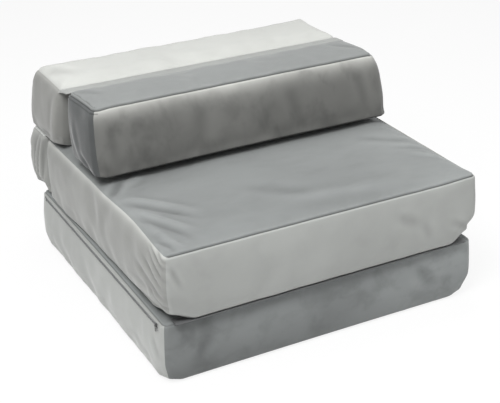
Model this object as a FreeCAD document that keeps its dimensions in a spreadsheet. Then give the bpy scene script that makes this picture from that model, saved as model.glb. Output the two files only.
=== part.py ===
# Convertible chair bed: five velvet-covered foam blocks sewn into one folding chain.
# The base lies on the floor. The seat lies on it, hinged along the front edge. A slim spine
# block is sewn behind the seat and carries the back bolster, hinged along its rear edge. The
# head bolster hangs from the front of the back bolster. Unfolded, the chain is a flat mattress.
# X is the width, Y the depth with the front at -Y, Z the height. Sizes are in millimetres.
import FreeCAD, Part
import os
import Sketcher

doc = FreeCAD.newDocument("ChairBed")

# Driving dimensions

SIZES = [
    ("fabric", 1.6, "thickness of the velvet cover with its lining"),
    ("foam_slack", 0.3, "room between a cover and its foam"),
    ("foam_corner", 14, "how far a foam core's corners are cut off"),
    ("block_gap", 0.3, "room between two blocks that lie on each other"),
    ("plan_round", 14, "corner radius of a block seen from above"),
    ("draw", 1, "how far a sewn edge pulls in between two corners"),
    ("swell", 3.5, "how far a side swells out between its two seams"),
    ("hem", 6, "height of the rolled edge round an underside"),
    ("hem_roll", 6, "how far that rolled edge draws in"),
    ("chair_wide", 804, "base block, left to right, and the measure of all five"),
    ("base_deep", 764, "base block, front to rear"),
    ("base_tall", 151, "base block, underside to upper seam"),
    ("base_crown", 4, "rise of its top panel above the seam"),
    ("base_shoulder", 30, "width of the rounded rim of its top panel"),
    ("seat_overhang", 14, "how far the seat stands out in front of the base"),
    ("seat_short", 12, "how much narrower the seat block is than the base"),
    ("seat_deep", 722, "seat block, front to rear"),
    ("seat_tall", 166, "seat block, underside to upper seam"),
    ("seat_crown", 5, "rise of its crowned top panel"),
    ("seat_shoulder", 60, "width of the rounded rim of its top panel"),
    ("spine_short", 0, "how much narrower the spine block is than the base"),
    ("spine_deep", 110, "spine block, front to rear"),
    ("spine_crown", 6, "rise of its top panel"),
    ("spine_shoulder", 24, "width of the rounded rim of its top panel"),
    ("back_inset", 20, "how far the back bolster stands in from the spine's rear"),
    ("back_short", 14, "how much narrower the back bolster's foot is than the base"),
    ("back_deep", 199, "back bolster, front to rear at its foot"),
    ("back_tall", 160, "back bolster, underside to upper seam"),
    ("back_crown", 8, "rise of its top"),
    ("back_shoulder", 46, "width of the rounded rim of its top"),
    ("back_lean", 29, "how far its top leans forward of its foot"),
    ("back_narrow", 8, "how far each end draws in towards the top"),
    ("back_thin", 10, "how far its front and its rear draw in towards the top"),
    ("head_short", 18, "how much narrower the head bolster's foot is than the base"),
    ("head_deep", 172, "head bolster, front to rear"),
    ("head_tall", 162, "head bolster, underside to upper seam"),
    ("head_crown", 6, "rise of its top panel"),
    ("head_shoulder", 44, "width of the rounded rim of its top panel"),
    ("head_narrow", 12, "how far each end draws in towards the top"),
    ("head_slope", 30, "how far its foot stands forward of its top"),
    ("head_tilt", 4.5, "degrees by which its front is held up"),
    ("bolster_shift", -6, "how far both bolsters sit off the middle"),
    ("web_wide", 36, "width of the fabric web between the two bolsters"),
    ("strip", 1.2, "thickness of a fabric strip or a zip's tape"),
    ("strip_margin", 28, "how far a fabric strip ends short of a block's end"),
    ("strip_out", 10, "how far the front hinge strip stands out from the base"),
    ("zip_drop", 6, "zip tape's upper edge below the upper seam"),
    ("zip_wide", 11, "height of the zip's tape"),
    ("zip_end", 30, "how far the zip ends short of the block's edge"),
    ("coil_wide", 3.4, "height of the zip's closed coil"),
    ("coil_thick", 1.3, "thickness of the closed coil"),
    ("slider_long", 9, "length of the zip's slider"),
    ("slider_wide", 6.4, "height of the slider"),
    ("slider_wall", 0.9, "wall of the slider"),
    ("slider_fit", 0.3, "room between the slider and what it runs on"),
]

sheet = doc.addObject("Spreadsheet::Sheet", "Sizes")
for row, (alias, value, meaning) in enumerate(SIZES, 1):
    sheet.set(f"A{row}", meaning)
    sheet.set(f"B{row}", str(value))
    sheet.setAlias(f"B{row}", alias)
doc.recompute()

subparts = []


def worth(expression):
    """The number that an expression of the sheet has now."""
    return float(sheet.evalExpression(f"({expression}) * 1"))


def keep(piece, label, place):
    """Names a sub-part, sets its place and puts it on the list of what is exported."""
    piece.Label = label
    piece.setExpression("Placement", place)
    subparts.append(piece)


def helper(kind, label, sizes):
    """A primitive that shapes a sub-part but isn't one itself."""
    solid = doc.addObject(kind, label)
    for name, expression in sizes.items():
        solid.setExpression(name, expression)
    return solid


def box(label, corner, size):
    """A box from its low corner and its three sizes, all as expressions."""
    names = ("Length", "Width", "Height")
    solid = helper("Part::Box", label, dict(zip(names, size)))
    x, y, z = corner
    solid.setExpression("Placement", f"placement(vector({x}; {y}; {z}); rotation(vector(0; 0; 1); 0))")
    return solid


def boolean(kind, label, first, second):
    solid = doc.addObject(kind, label)
    solid.Base = first
    solid.Tool = second
    return solid


# Outlines and forms of a block

# Where a cover's swollen sides have outlines between the seams, as shares of their height.
SWELL_SHARES = (0.3, 0.7)


def arc(start, end, bow):
    """The arc from start to end that stands off its chord by bow, outward on a counter-clockwise
    outline. Returns it with the numbers of its first and last point, since a sketch keeps every
    arc counter-clockwise."""
    chord = end - start
    outward = FreeCAD.Vector(chord.y, -chord.x, 0).normalize()
    top = (start + end) * 0.5 + outward * bow
    curve = Part.Arc(start, top, end) if bow > 0 else Part.Arc(end, top, start)
    return curve, (1, 2) if bow > 0 else (2, 1)


def level_sketch(body, label, level, shift):
    """An empty sketch on its body's level plane, raised to level and shifted along Y."""
    sketch = body.newObject("Sketcher::SketchObject", label)
    plane = [feature for feature in body.Origin.OriginFeatures if feature.Role == "XY_Plane"][0]
    sketch.AttachmentSupport = [(plane, "")]
    sketch.MapMode = "FlatFace"
    sketch.setExpression("AttachmentOffset.Base.y", shift)
    sketch.setExpression("AttachmentOffset.Base.z", level)
    return sketch


def corner_points(x, y, cut):
    """The eight corner points of a rectangle whose corners are rounded or cut off."""
    points = []
    for side_x, side_y in ((1, -1), (1, 1), (-1, 1), (-1, -1)):
        along_x = FreeCAD.Vector(side_x * (x - cut), side_y * y, 0)
        along_y = FreeCAD.Vector(side_x * x, side_y * (y - cut), 0)
        points += [along_x, along_y] if side_x * side_y < 0 else [along_y, along_x]
    return points


# Even edges are the corners, odd edges the right, rear, left and front sides.
RIGHT, REAR, LEFT, FRONT = 1, 3, 5, 7
# The sketch's horizontal and upright axes, and its origin, by their numbers.
ACROSS, UPRIGHT = -1, -2
ORIGIN = (-1, 1)


def mirrored(ends):
    """Joins eight edges into a loop and mirrors its sides in both axes."""
    rules = []
    for edge in range(8):
        following = (edge + 1) % 8
        rules.append(Sketcher.Constraint("Coincident", edge, ends[edge][1], following, ends[following][0]))
    pairs = [
        (FRONT, 0, FRONT, 1, UPRIGHT),
        (REAR, 0, REAR, 1, UPRIGHT),
        (RIGHT, 0, RIGHT, 1, ACROSS),
        (LEFT, 0, LEFT, 1, ACROSS),
        (FRONT, 1, REAR, 0, ACROSS),
        (RIGHT, 1, LEFT, 0, UPRIGHT),
    ]
    for one, one_end, other, other_end, axis in pairs:
        points = (one, ends[one][one_end], other, ends[other][other_end])
        rules.append(Sketcher.Constraint("Symmetric", *points, axis))
    return rules


def bind(sketch, name, rule, expression):
    """Adds a named size to a sketch and ties it to the sheet."""
    index = sketch.addConstraint(rule)
    sketch.renameConstraint(index, name)
    sketch.setExpression(f"Constraints.{name}", expression)


def bind_corner(sketch, ends, half_x, half_y, cut):
    """Ties the two points beside the rear right corner, which place all the others."""
    sizes = [
        ("run_x", "DistanceX", REAR, 0, f"({half_x}) - ({cut})"),
        ("half_y", "DistanceY", REAR, 0, half_y),
        ("half_x", "DistanceX", RIGHT, 1, half_x),
        ("run_y", "DistanceY", RIGHT, 1, f"({half_y}) - ({cut})"),
    ]
    for name, kind, edge, end, expression in sizes:
        rule = Sketcher.Constraint(kind, *ORIGIN, edge, ends[edge][end], worth(expression))
        bind(sketch, name, rule, expression)


def outline(body, label, half_x, half_y, corner, bow, level, shift):
    """One level of a cover: a rectangle with round corners and gently bowed sides."""
    sketch = level_sketch(body, label, level, shift)
    points = corner_points(worth(half_x), worth(half_y), worth(corner))
    ends = []
    for edge in range(8):
        start = points[edge]
        end = points[(edge + 1) % 8]
        quarter_bow = (end - start).Length * (2 ** 0.5 - 1) / 2
        curve, order = arc(start, end, quarter_bow if edge % 2 == 0 else worth(bow))
        sketch.addGeometry(curve, False)
        ends.append(order)
    sketch.addConstraint(mirrored(ends))
    sketch.addConstraint([Sketcher.Constraint("Equal", 0, other) for other in (2, 4, 6)])
    sketch.addConstraint(Sketcher.Constraint("Equal", FRONT, REAR))
    sketch.addConstraint(Sketcher.Constraint("Equal", LEFT, RIGHT))

    bind_corner(sketch, ends, half_x, half_y, corner)
    bind(sketch, "corner", Sketcher.Constraint("Radius", 0, worth(corner)), corner)
    for name, edge, half in (("long_bow", FRONT, half_x), ("short_bow", RIGHT, half_y)):
        # The radius of an arc from half its chord and its bow.
        run = f"(({half}) - ({corner}))"
        radius = f"(pow({run}; 2) + pow({bow}; 2)) / abs(2 * ({bow}))"
        bind(sketch, name, Sketcher.Constraint("Radius", edge, worth(radius)), radius)
    return sketch


def cut_outline(body, label, half_x, half_y, level, shift):
    """One level of a foam core: a rectangle with its corners cut off at 45 degrees."""
    sketch = level_sketch(body, label, level, shift)
    x, y, c = (worth(text) for text in (half_x, half_y, "Sizes.foam_corner"))
    points = corner_points(x, y, c)
    for edge in range(8):
        sketch.addGeometry(Part.LineSegment(points[edge], points[(edge + 1) % 8]), False)
    ends = [(1, 2)] * 8
    sketch.addConstraint(mirrored(ends))
    bind_corner(sketch, ends, half_x, half_y, "Sizes.foam_corner")
    return sketch


def levels(block, skin, side_shares, rim_shares):
    """The outlines of a block from its underside to its crown, each as the share of the way up from
    the lower seam to the upper one, the inset, the bow of the sides and the height."""
    tall, crown, shoulder = block["tall"], block["crown"], block["shoulder"]
    # The flat foot is drawn in, and its edge slopes up to the lower seam.
    stack = [("0", "Sizes.hem_roll", "-Sizes.draw", skin)]
    # The sides swell out between the seams and are drawn in at them.
    for share in (0, *side_shares, 1):
        bow = f"-Sizes.draw + (Sizes.swell + Sizes.draw) * {4 * share * (1 - share)}"
        stack.append((str(share), "0", bow, f"Sizes.hem + {share} * ({tall} - Sizes.hem)"))
    # The top rises from the upper seam in a curve that ends level, and its outlines straighten.
    for share in rim_shares:
        rise = 1 - (1 - share) ** 2
        bow = f"-Sizes.draw * {1 - 0.9 * share}"
        stack.append(("1", f"{share} * {shoulder}", bow, f"{tall} + {rise} * ({crown} - ({skin}))"))
    return stack


def half_sizes(block, share, inset, skin):
    """Half the width and half the depth of one outline, before its sides bow."""
    half_x = f"{block['wide']} / 2 - Sizes.swell - {inset} - ({skin}) - {share} * {block['narrow']}"
    half_y = f"{block['deep']} / 2 - Sizes.swell - {inset} - ({skin}) - {share} * {block['thin']}"
    return half_x, half_y


def ruled_loft(body, sketches):
    """One loft through a body's outlines, straight from each to the next."""
    loft = body.newObject("PartDesign::AdditiveLoft", f"{body.Name}_loft")
    loft.Profile = sketches[0]
    loft.Sections = sketches[1:]
    loft.Ruled = True
    body.Tip = loft


def form(block, label, skin):
    """The whole block as its cover shapes it, drawn in all round by skin."""
    body = doc.addObject("PartDesign::Body", label)
    sketches = []
    for share, inset, bow, level in levels(block, skin, SWELL_SHARES, block["rim"]):
        half_x, half_y = half_sizes(block, share, inset, skin)
        corner = f"Sizes.plan_round - ({skin})"
        shift = f"-{share} * {block['lean']}"
        name = f"{label}_level_{len(sketches) + 1}"
        sketches.append(outline(body, name, half_x, half_y, corner, bow, level, shift))
    ruled_loft(body, sketches)
    return body


def cover(block):
    """The sewn cover as one closed skin, before it is parted at its seams."""
    name = block["name"]
    outside = form(block, f"{name}_outside", "0")
    inside = form(block, f"{name}_inside", "Sizes.fabric")
    return boolean("Part::Cut", f"{name}_skin", outside, inside)


def slab(block, label, low, high):
    """A box round the block between two heights, for parting its cover."""
    wide, deep, lean = block["wide"], block["deep"], block["lean"]
    corner = (f"-{wide}", f"-{deep} - {lean}", low)
    return box(label, corner, (f"2 * {wide}", f"2 * ({deep} + {lean})", f"{high} - ({low})"))


def foam(block):
    """The foam core: cut with straight sides, just clear of the cover where that is drawn in, with
    bevelled edges below and above."""
    skin = "(Sizes.fabric + Sizes.foam_slack)"
    label = f"{block['name']}_foam"
    body = doc.addObject("PartDesign::Body", label)
    sketches = []
    for share, inset, _, level in levels(block, skin, (), (1,)):
        half_x, half_y = half_sizes(block, share, f"Sizes.draw - {inset}", skin)
        shift = f"-{share} * {block['lean']}"
        name = f"{label}_level_{len(sketches) + 1}"
        sketches.append(cut_outline(body, name, half_x, half_y, level, shift))
    ruled_loft(body, sketches)
    keep(body, label, block["place"])


def boxed_cover(block):
    """A top panel, a band round the sides and a bottom panel, sewn at two level seams."""
    name, tall, crown = block["name"], block["tall"], block["crown"]
    skin = cover(block)
    panels = [
        ("top", tall, f"{tall} + {crown} + 1"),
        ("band", "Sizes.hem", tall),
        ("bottom", "-1", "Sizes.hem"),
    ]
    for panel, low, high in panels:
        room = slab(block, f"{name}_{panel}_room", low, high)
        piece = boolean("Part::Common", f"{name}_{panel}", skin, room)
        keep(piece, f"{name}_{panel}", block["place"])


# The five blocks: sizes, slopes and places

SPINE_TALL = "(Sizes.seat_tall + Sizes.seat_crown - Sizes.spine_crown)"
SEAT_Z = "(Sizes.base_tall + Sizes.base_crown + Sizes.block_gap)"
SEAT_FRONT = "(-Sizes.base_deep / 2 - Sizes.seat_overhang)"
SEAT_REAR = f"({SEAT_FRONT} + Sizes.seat_deep)"
SPINE_FRONT = f"({SEAT_REAR} + Sizes.block_gap)"
SPINE_REAR = f"({SPINE_FRONT} + Sizes.spine_deep)"
BACK_Z = f"({SEAT_Z} + Sizes.seat_tall + Sizes.seat_crown + Sizes.block_gap)"
BACK_REAR = f"({SPINE_REAR} - Sizes.back_inset)"
BACK_Y = f"({BACK_REAR} - Sizes.back_deep / 2)"
# The fold between the bolsters lies just off the back's upper seam at its front.
FOLD_Y = f"({BACK_Y} - Sizes.back_lean - Sizes.back_deep / 2 + Sizes.swell + Sizes.back_thin - Sizes.block_gap)"
FOLD_Z = f"({BACK_Z} + Sizes.back_tall)"
HEAD_SEAM = "(Sizes.head_deep / 2 + Sizes.head_slope - Sizes.swell)"
HEAD_REACH = f"({HEAD_SEAM} + Sizes.web_wide)"


def level_place(x, y, z):
    return f"placement(vector({x}; {y}; {z}); rotation(vector(1; 0; 0); 0))"


HEAD_TURN = f"placement(vector(Sizes.bolster_shift; {FOLD_Y}; {FOLD_Z}); rotation(vector(1; 0; 0); -Sizes.head_tilt))"


# Rims as shares of their width: one slope, or two that round over to the top.
BEVEL = (1,)
ROUNDED = (0.4, 1)


def block(name, tall, place, rim, lean="0", narrow="0", thin="0"):
    """The sizes of one block as expressions."""
    return {
        "name": name,
        "wide": "Sizes.chair_wide" if name == "base" else f"(Sizes.chair_wide - Sizes.{name}_short)",
        "deep": f"Sizes.{name}_deep",
        "tall": tall,
        "crown": f"Sizes.{name}_crown",
        "shoulder": f"Sizes.{name}_shoulder",
        "rim": rim,
        "lean": lean,
        "narrow": narrow,
        "thin": thin,
        "place": place,
    }


base = block("base", "Sizes.base_tall", level_place("0", "0", "0"), BEVEL)
seat = block("seat", "Sizes.seat_tall",
             level_place("0", f"{SEAT_FRONT} + Sizes.seat_deep / 2", SEAT_Z), ROUNDED)
spine = block("spine", SPINE_TALL,
              level_place("0", f"{SPINE_FRONT} + Sizes.spine_deep / 2", SEAT_Z), BEVEL)
back = block("back", "Sizes.back_tall", level_place("Sizes.bolster_shift", BACK_Y, BACK_Z), ROUNDED,
             "Sizes.back_lean", "Sizes.back_narrow", "Sizes.back_thin")
head = block("head", "Sizes.head_tall",
             f"{HEAD_TURN} * {level_place('0', f'-{HEAD_REACH}', '-Sizes.head_tall')}", ROUNDED,
             "-Sizes.head_slope", "Sizes.head_narrow")

for part in (base, seat, spine, back, head):
    foam(part)
for part in (base, seat, spine, head):
    boxed_cover(part)

# The back bolster's cover has no seam along its front: a flat panel closes its rear, and one
# piece wraps the rest.
back_skin = cover(back)
rear_room = helper("Part::Box", "back_rear_room", {
    "Length": "2 * Sizes.chair_wide",
    "Width": "Sizes.back_deep",
    "Height": "4 * Sizes.back_tall",
})
REAR_LEAN = "atan((Sizes.back_lean + Sizes.back_thin) / (Sizes.back_tall - Sizes.hem))"
REAR_SEAM = "Sizes.back_deep / 2 - Sizes.swell - Sizes.hem"
rear_room.setExpression("Placement", (
    f"placement(vector(0; {REAR_SEAM}; Sizes.hem); rotation(vector(1; 0; 0); {REAR_LEAN}))"
    f" * {level_place('-Sizes.chair_wide', '0', '-2 * Sizes.back_tall')}"))
keep(boolean("Part::Common", "back_rear", back_skin, rear_room), "back_rear", back["place"])
keep(boolean("Part::Cut", "back_wrap", back_skin, rear_room), "back_wrap", back["place"])

# Fabric strips that hinge and join the blocks


def strip(label, block, low_y, high_y, low_z):
    """A flat strip across a block, given in that block's own frame."""
    long = f"({block['wide']} - 2 * {block['narrow']} - 2 * Sizes.strip_margin)"
    room = box(f"{label}_cut", (f"-{long} / 2", low_y, low_z), (long, f"{high_y} - ({low_y})", "Sizes.strip"))
    piece = doc.addObject("Part::Refine", label)
    piece.Source = room
    keep(piece, label, block["place"])


def lap(block):
    """How far in from its seam a bevelled rim has risen to just under a strip level with its top."""
    crown = block["crown"]
    return f"{block['shoulder']} * ({crown} - Sizes.strip - Sizes.block_gap) / {crown}"


# It lies on the base's front rim and stands out under the seat's overhang.
strip("front_hinge", base,
      "-Sizes.base_deep / 2 - Sizes.strip_out",
      f"-Sizes.base_deep / 2 + Sizes.swell + {lap(base)}",
      "Sizes.base_tall + Sizes.base_crown - Sizes.strip")
# It bridges the groove between the rolled hems under the seat and the spine.
JOIN_HALF = "(Sizes.swell + Sizes.hem_roll * (1 - Sizes.strip / Sizes.hem) - Sizes.block_gap / 2)"
strip("spine_join", spine,
      f"-Sizes.spine_deep / 2 - Sizes.block_gap / 2 - {JOIN_HALF}",
      f"-Sizes.spine_deep / 2 - Sizes.block_gap / 2 + {JOIN_HALF}",
      "0")
# It lies on the spine's rear rim, under the rear edge of the back bolster.
strip("rear_hinge", spine,
      f"Sizes.spine_deep / 2 - Sizes.swell - {lap(spine)}",
      "Sizes.spine_deep / 2",
      f"{SPINE_TALL} + Sizes.spine_crown - Sizes.strip")
# It reaches from the head bolster's upper rear seam to the fold at the back bolster.
strip("head_web", head,
      f"{HEAD_SEAM} + Sizes.block_gap",
      HEAD_REACH,
      "Sizes.head_tall - Sizes.strip")


# Zips: a tape along one side of a block, a closed coil on it and a slider that runs on the coil


def side_box(label, side, near, thick, low_y, long, low_z, high):
    """A box on the left (side -1) or right (side 1) of a block, whose inner face is near."""
    low_x = near if side > 0 else f"-({near}) - ({thick})"
    return box(label, (low_x, low_y, low_z), (thick, long, high))


def zip_on(block, side):
    """A zip just below a block's upper seam, on its left (side -1) or right (side 1)."""
    name = block["name"]
    # The side's bow at the tape's lower edge, between its last outline and the upper seam.
    last = SWELL_SHARES[-1]
    reach = f"(Sizes.zip_drop + Sizes.zip_wide) / ({block['tall']} - Sizes.hem) / {1 - last}"
    bow = f"max(0; (Sizes.swell + Sizes.draw) * {4 * last * (1 - last)} * {reach} - Sizes.draw)"
    skin = f"({block['wide']} / 2 - Sizes.swell + {bow} + Sizes.block_gap)"
    coil_x = f"({skin} + Sizes.strip)"
    start = f"(-{block['deep']} / 2 + Sizes.zip_end)"
    long = f"({block['deep']} - 2 * Sizes.zip_end)"
    middle = f"({block['tall']} - Sizes.zip_drop - Sizes.zip_wide / 2)"

    def centred(high):
        return f"{middle} - ({high}) / 2"

    tape = side_box(f"{name}_tape_cut", side, skin, "Sizes.strip", start, long,
                    centred("Sizes.zip_wide"), "Sizes.zip_wide")
    coil = side_box(f"{name}_coil_cut", side, coil_x, "Sizes.coil_thick", start, long,
                    centred("Sizes.coil_wide"), "Sizes.coil_wide")
    fit = "Sizes.slider_fit"
    inner_thick = f"(Sizes.coil_thick + {fit})"
    inner_wide = f"(Sizes.coil_wide + 2 * {fit})"
    shell = side_box(f"{name}_slider_block", side, f"{coil_x} + {fit}", f"Sizes.coil_thick + Sizes.slider_wall",
                     start, "Sizes.slider_long", centred("Sizes.slider_wide"), "Sizes.slider_wide")
    channel = side_box(f"{name}_slider_channel", side, coil_x, inner_thick,
                       f"{start} - 1", "Sizes.slider_long + 2", centred(inner_wide), inner_wide)
    slider = boolean("Part::Cut", f"{name}_slider", shell, channel)
    for label, piece in (("zip_tape", tape), ("zip_coil", coil)):
        body = doc.addObject("Part::Refine", f"{name}_{label}")
        body.Source = piece
        keep(body, f"{name}_{label}", block["place"])
    keep(slider, f"{name}_zip_slider", block["place"])


zip_on(base, -1)
zip_on(seat, 1)

doc.recompute()

# Checks and export

for thing in doc.Objects:
    assert not {"Invalid", "Error"} & set(thing.State), f"{thing.Name} failed: {thing.State}"
os.makedirs("parts", exist_ok=True)
for piece in subparts:
    shape = piece.Shape
    assert not shape.isNull() and shape.isValid(), f"{piece.Label} has no valid shape"
    shape.exportStep(f"parts/{piece.Label}.step")
    print(piece.Label, len(shape.Solids), f"{shape.Volume / 1000:.1f} cm3", shape.BoundBox)
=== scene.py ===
import math

import bpy
import numpy as np
from mathutils import Matrix, Vector, noise


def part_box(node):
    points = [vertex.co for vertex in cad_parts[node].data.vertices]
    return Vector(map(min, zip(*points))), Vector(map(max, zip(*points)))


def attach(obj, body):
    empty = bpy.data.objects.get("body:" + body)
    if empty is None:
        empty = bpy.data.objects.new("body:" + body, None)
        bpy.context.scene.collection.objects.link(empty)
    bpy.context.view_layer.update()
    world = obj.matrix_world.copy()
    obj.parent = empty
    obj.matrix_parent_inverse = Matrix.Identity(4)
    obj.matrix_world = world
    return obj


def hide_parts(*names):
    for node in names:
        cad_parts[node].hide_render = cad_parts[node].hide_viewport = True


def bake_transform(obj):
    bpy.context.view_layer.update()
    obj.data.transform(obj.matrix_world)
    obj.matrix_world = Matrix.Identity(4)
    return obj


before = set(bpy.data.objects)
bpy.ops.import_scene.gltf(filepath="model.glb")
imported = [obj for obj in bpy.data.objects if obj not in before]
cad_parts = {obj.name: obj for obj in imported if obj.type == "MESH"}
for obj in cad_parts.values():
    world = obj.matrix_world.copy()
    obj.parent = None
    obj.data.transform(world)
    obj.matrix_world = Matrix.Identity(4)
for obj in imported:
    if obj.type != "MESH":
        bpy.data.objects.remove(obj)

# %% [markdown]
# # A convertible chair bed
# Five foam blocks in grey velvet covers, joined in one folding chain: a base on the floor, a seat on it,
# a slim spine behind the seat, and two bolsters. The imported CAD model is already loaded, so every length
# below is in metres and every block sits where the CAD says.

scene = bpy.context.scene
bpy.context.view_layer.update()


def cad_corner(node, end):
    """The lowest (end 0) or highest (end 1) corner of a CAD node, as an array."""
    return np.array(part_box(node)[end])


# %% [markdown]
# ## The camera
# The picture is taken from the front left, a little above. A real camera at that distance sees the far
# edges shorter than the near ones, so the lens and the distance matter as much as the direction. The
# camera is turned by a matrix built from the line of sight, because that leaves no doubt about the roll.

# %% Camera
AZIMUTH, ELEVATION, ROLL = -0.4789, 0.4582, -0.0178
DISTANCE = 2.9637
AIM = Vector((0.002, 0.004, 0.1846))
LENS, SENSOR = 86.4, 36.0
SHIFT = (0.0069, -0.0025)

backward = Vector((math.sin(AZIMUTH) * math.cos(ELEVATION), -math.cos(AZIMUTH) * math.cos(ELEVATION),
                   math.sin(ELEVATION)))
level_right = (-backward).cross(Vector((0, 0, 1))).normalized()
level_up = level_right.cross(-backward)
right = level_right * math.cos(ROLL) + level_up * math.sin(ROLL)
up = level_up * math.cos(ROLL) - level_right * math.sin(ROLL)
turn = Matrix((right, up, backward)).transposed().to_4x4()
turn.translation = AIM + backward * DISTANCE

camera_data = bpy.data.cameras.new("camera")
camera = bpy.data.objects.new("camera", camera_data)
scene.collection.objects.link(camera)
camera.matrix_world = turn
camera_data.lens = LENS
camera_data.sensor_width = SENSOR
camera_data.shift_x, camera_data.shift_y = SHIFT
scene.camera = camera
scene.view_settings.view_transform = "Standard"
print("camera at", [round(c, 3) for c in camera.location])

# %% [markdown]
# ## Arithmetic on shader sockets
# A finish is a small sum: noise here, a mask there. Wiring Math nodes by hand hides that sum, so a small
# class wraps a socket and lets Python's own operators add the nodes.

# %% The socket class and the material maker
class Socket:
    """An output socket on which Python arithmetic adds Math nodes."""

    def __init__(self, finish, socket):
        self.finish = finish
        self.socket = socket

    def math(self, operation, first, second):
        return self.finish.node("ShaderNodeMath", {"operation": operation}, {0: first, 1: second})

    def __add__(self, other):
        return self.math("ADD", self, other)

    def __radd__(self, other):
        return self.math("ADD", other, self)

    def __sub__(self, other):
        return self.math("SUBTRACT", self, other)

    def __rsub__(self, other):
        return self.math("SUBTRACT", other, self)

    def __mul__(self, other):
        return self.math("MULTIPLY", self, other)

    def __rmul__(self, other):
        return self.math("MULTIPLY", other, self)

    def clamp(self, low, high):
        """0 up to low, 1 from high on, and smooth in between."""
        kind = {"interpolation_type": "SMOOTHSTEP"}
        return self.finish.node("ShaderNodeMapRange", kind, {"Value": self, "From Min": low, "From Max": high})


class Finish:
    """One material. Its shader is a Principled BSDF whose constants are set on its own sockets."""

    def __init__(self, name, constants):
        self.material = bpy.data.materials.new(name)
        self.material.use_nodes = True
        self.tree = self.material.node_tree
        self.shader = self.tree.nodes["Principled BSDF"]
        for socket, value in constants.items():
            self.shader.inputs[socket].default_value = value

    def node(self, kind, settings, inputs, output=0):
        """Adds one node: its settings first, then the values or links of its sockets."""
        made = self.tree.nodes.new(kind)
        for name, value in settings.items():
            setattr(made, name, value)
        for name, value in inputs.items():
            if isinstance(value, Socket):
                self.tree.links.new(value.socket, made.inputs[name])
            else:
                made.inputs[name].default_value = value
        return Socket(self, made.outputs[output])

    def place(self, stretch=(1, 1, 1), turned=(0, 0, 0)):
        """Object coordinates, stretched and turned."""
        where = self.node("ShaderNodeTexCoord", {}, {}, "Object")
        return self.node("ShaderNodeMapping", {}, {"Vector": where, "Scale": stretch, "Rotation": turned})

    def noise(self, scale, detail=2.0, rough=0.5, warp=0.0, place=None):
        inputs = {"Vector": place or self.place(), "Scale": scale, "Detail": detail, "Roughness": rough,
                  "Distortion": warp}
        return self.node("ShaderNodeTexNoise", {}, inputs)

    def attribute(self, name):
        return self.node("ShaderNodeAttribute", {"attribute_name": name}, {}, "Fac")

    def mix(self, factor, first, second):
        """A colour between two colours."""
        inputs = {0: factor, 6: first, 7: second}
        return self.node("ShaderNodeMix", {"data_type": "RGBA"}, inputs, 2)

    def drive(self, name, socket):
        """Links a socket to one of the shader's own."""
        self.tree.links.new(socket.socket, self.shader.inputs[name])

    def bump(self, height, strength, depth):
        inputs = {"Height": height, "Strength": strength, "Distance": depth}
        self.drive("Normal", self.node("ShaderNodeBump", {}, inputs))


def grey(level, warm=0.0):
    """A grey of that linear level, a little warmer (up) or cooler (down)."""
    return (level * (1 + warm), level, level * (1 - warm), 1)


def velvet_white(warm):
    """The velvet's dye at full level. It has a trace of green, as the photograph shows."""
    return (0.975 * (1 + warm), 1.0, 0.965 * (1 - warm), 1)


print("material maker ready")

# %% [markdown]
# ## Velvet
# Velvet is a dense short pile. It scatters light like soot, shines at grazing angles, and looks lighter or
# darker where a hand has brushed the pile one way or the other. The finish therefore has: broad soft
# patches, smaller brushed blots inside them, fine pile grain in the bump, a painted highlight along the
# rolled edges, painted shade down the creases with painted light on their ridges, a dark line down in each
# seam, and a sheen. Each panel gets its own grey, set to how light or dark that side renders under the
# lamps: lit and shaded copies of one velvet, with light and shade painted into their colour.

# %% Velvet finish
PILE_GRAIN = 1400.0
PATCHES = 4.0
BLOTS = 17.0


def velvet(name, level, warm=0.0, patchy=0.08, blots=0.05, highlight_gain=0.25, along=(1.0, 1.0, 1.0),
           floor_fade=0.0, sweep=0.0):
    """The cover's velvet at the grey that one panel renders under the lamps: painted light and shade.

    floor_fade darkens the panel towards the floor, sweep lightens it towards the right, and highlight_gain
    sets the painted highlight along the rolled edges.
    """
    finish = Finish(name, {"Roughness": 0.9, "Sheen Weight": 0.3, "Sheen Roughness": 0.4})
    broad = finish.noise(PATCHES, 2.0, 0.5, 0.3, finish.place(along))
    blot = finish.noise(BLOTS, 3.0, 0.55, 0.2, finish.place(along, (0.3, 0.2, 0.5)))
    grain = finish.noise(PILE_GRAIN, 1.0, 0.5)
    shade = 1.0 - patchy * broad.clamp(0.32, 0.68) - blots * blot.clamp(0.42, 0.72) * (0.4 + broad)
    shade = shade + 0.04 * (grain - 0.5)
    # edge is a painted highlight along the rolled edges, standing in for the sheen that catches there.
    edge = finish.attribute("edge")
    seam = finish.attribute("seam")
    # crease_shade paints shade into the crease valleys and light onto their ridges.
    crease_shade = finish.attribute("crease_shade")
    painted_highlight = edge * (0.75 + 0.5 * blot)
    shade = shade * (1.0 + highlight_gain * painted_highlight) * (1.0 - 0.85 * seam) * (1.0 - 0.28 * crease_shade)
    if floor_fade:
        height = finish.node("ShaderNodeSeparateXYZ", {}, {0: finish.place()}, 2)
        shade = shade * (1.0 - floor_fade * (1.0 - height.clamp(0.0, 0.13)))
    if sweep:
        rightwards = finish.node("ShaderNodeSeparateXYZ", {}, {0: finish.place()}, 0)
        shade = shade * (1.0 + sweep * rightwards.clamp(-0.05, 0.36))
    # level is the grey that this panel renders under the lamps, so light and shade are painted into the colour.
    finish.drive("Base Color", finish.mix(shade * level, grey(0.0), velvet_white(warm)))
    finish.drive("Roughness", 0.86 + 0.1 * grain - 0.06 * edge)
    finish.bump(grain * 0.2 + blot * 0.5 + broad, 0.3, 0.0012)
    return finish.material


# Each panel's grey is set to how light or dark that side renders: lit and shaded copies of one velvet. The head front's
# large highlight gain paints its bright rolled top edge.
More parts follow.
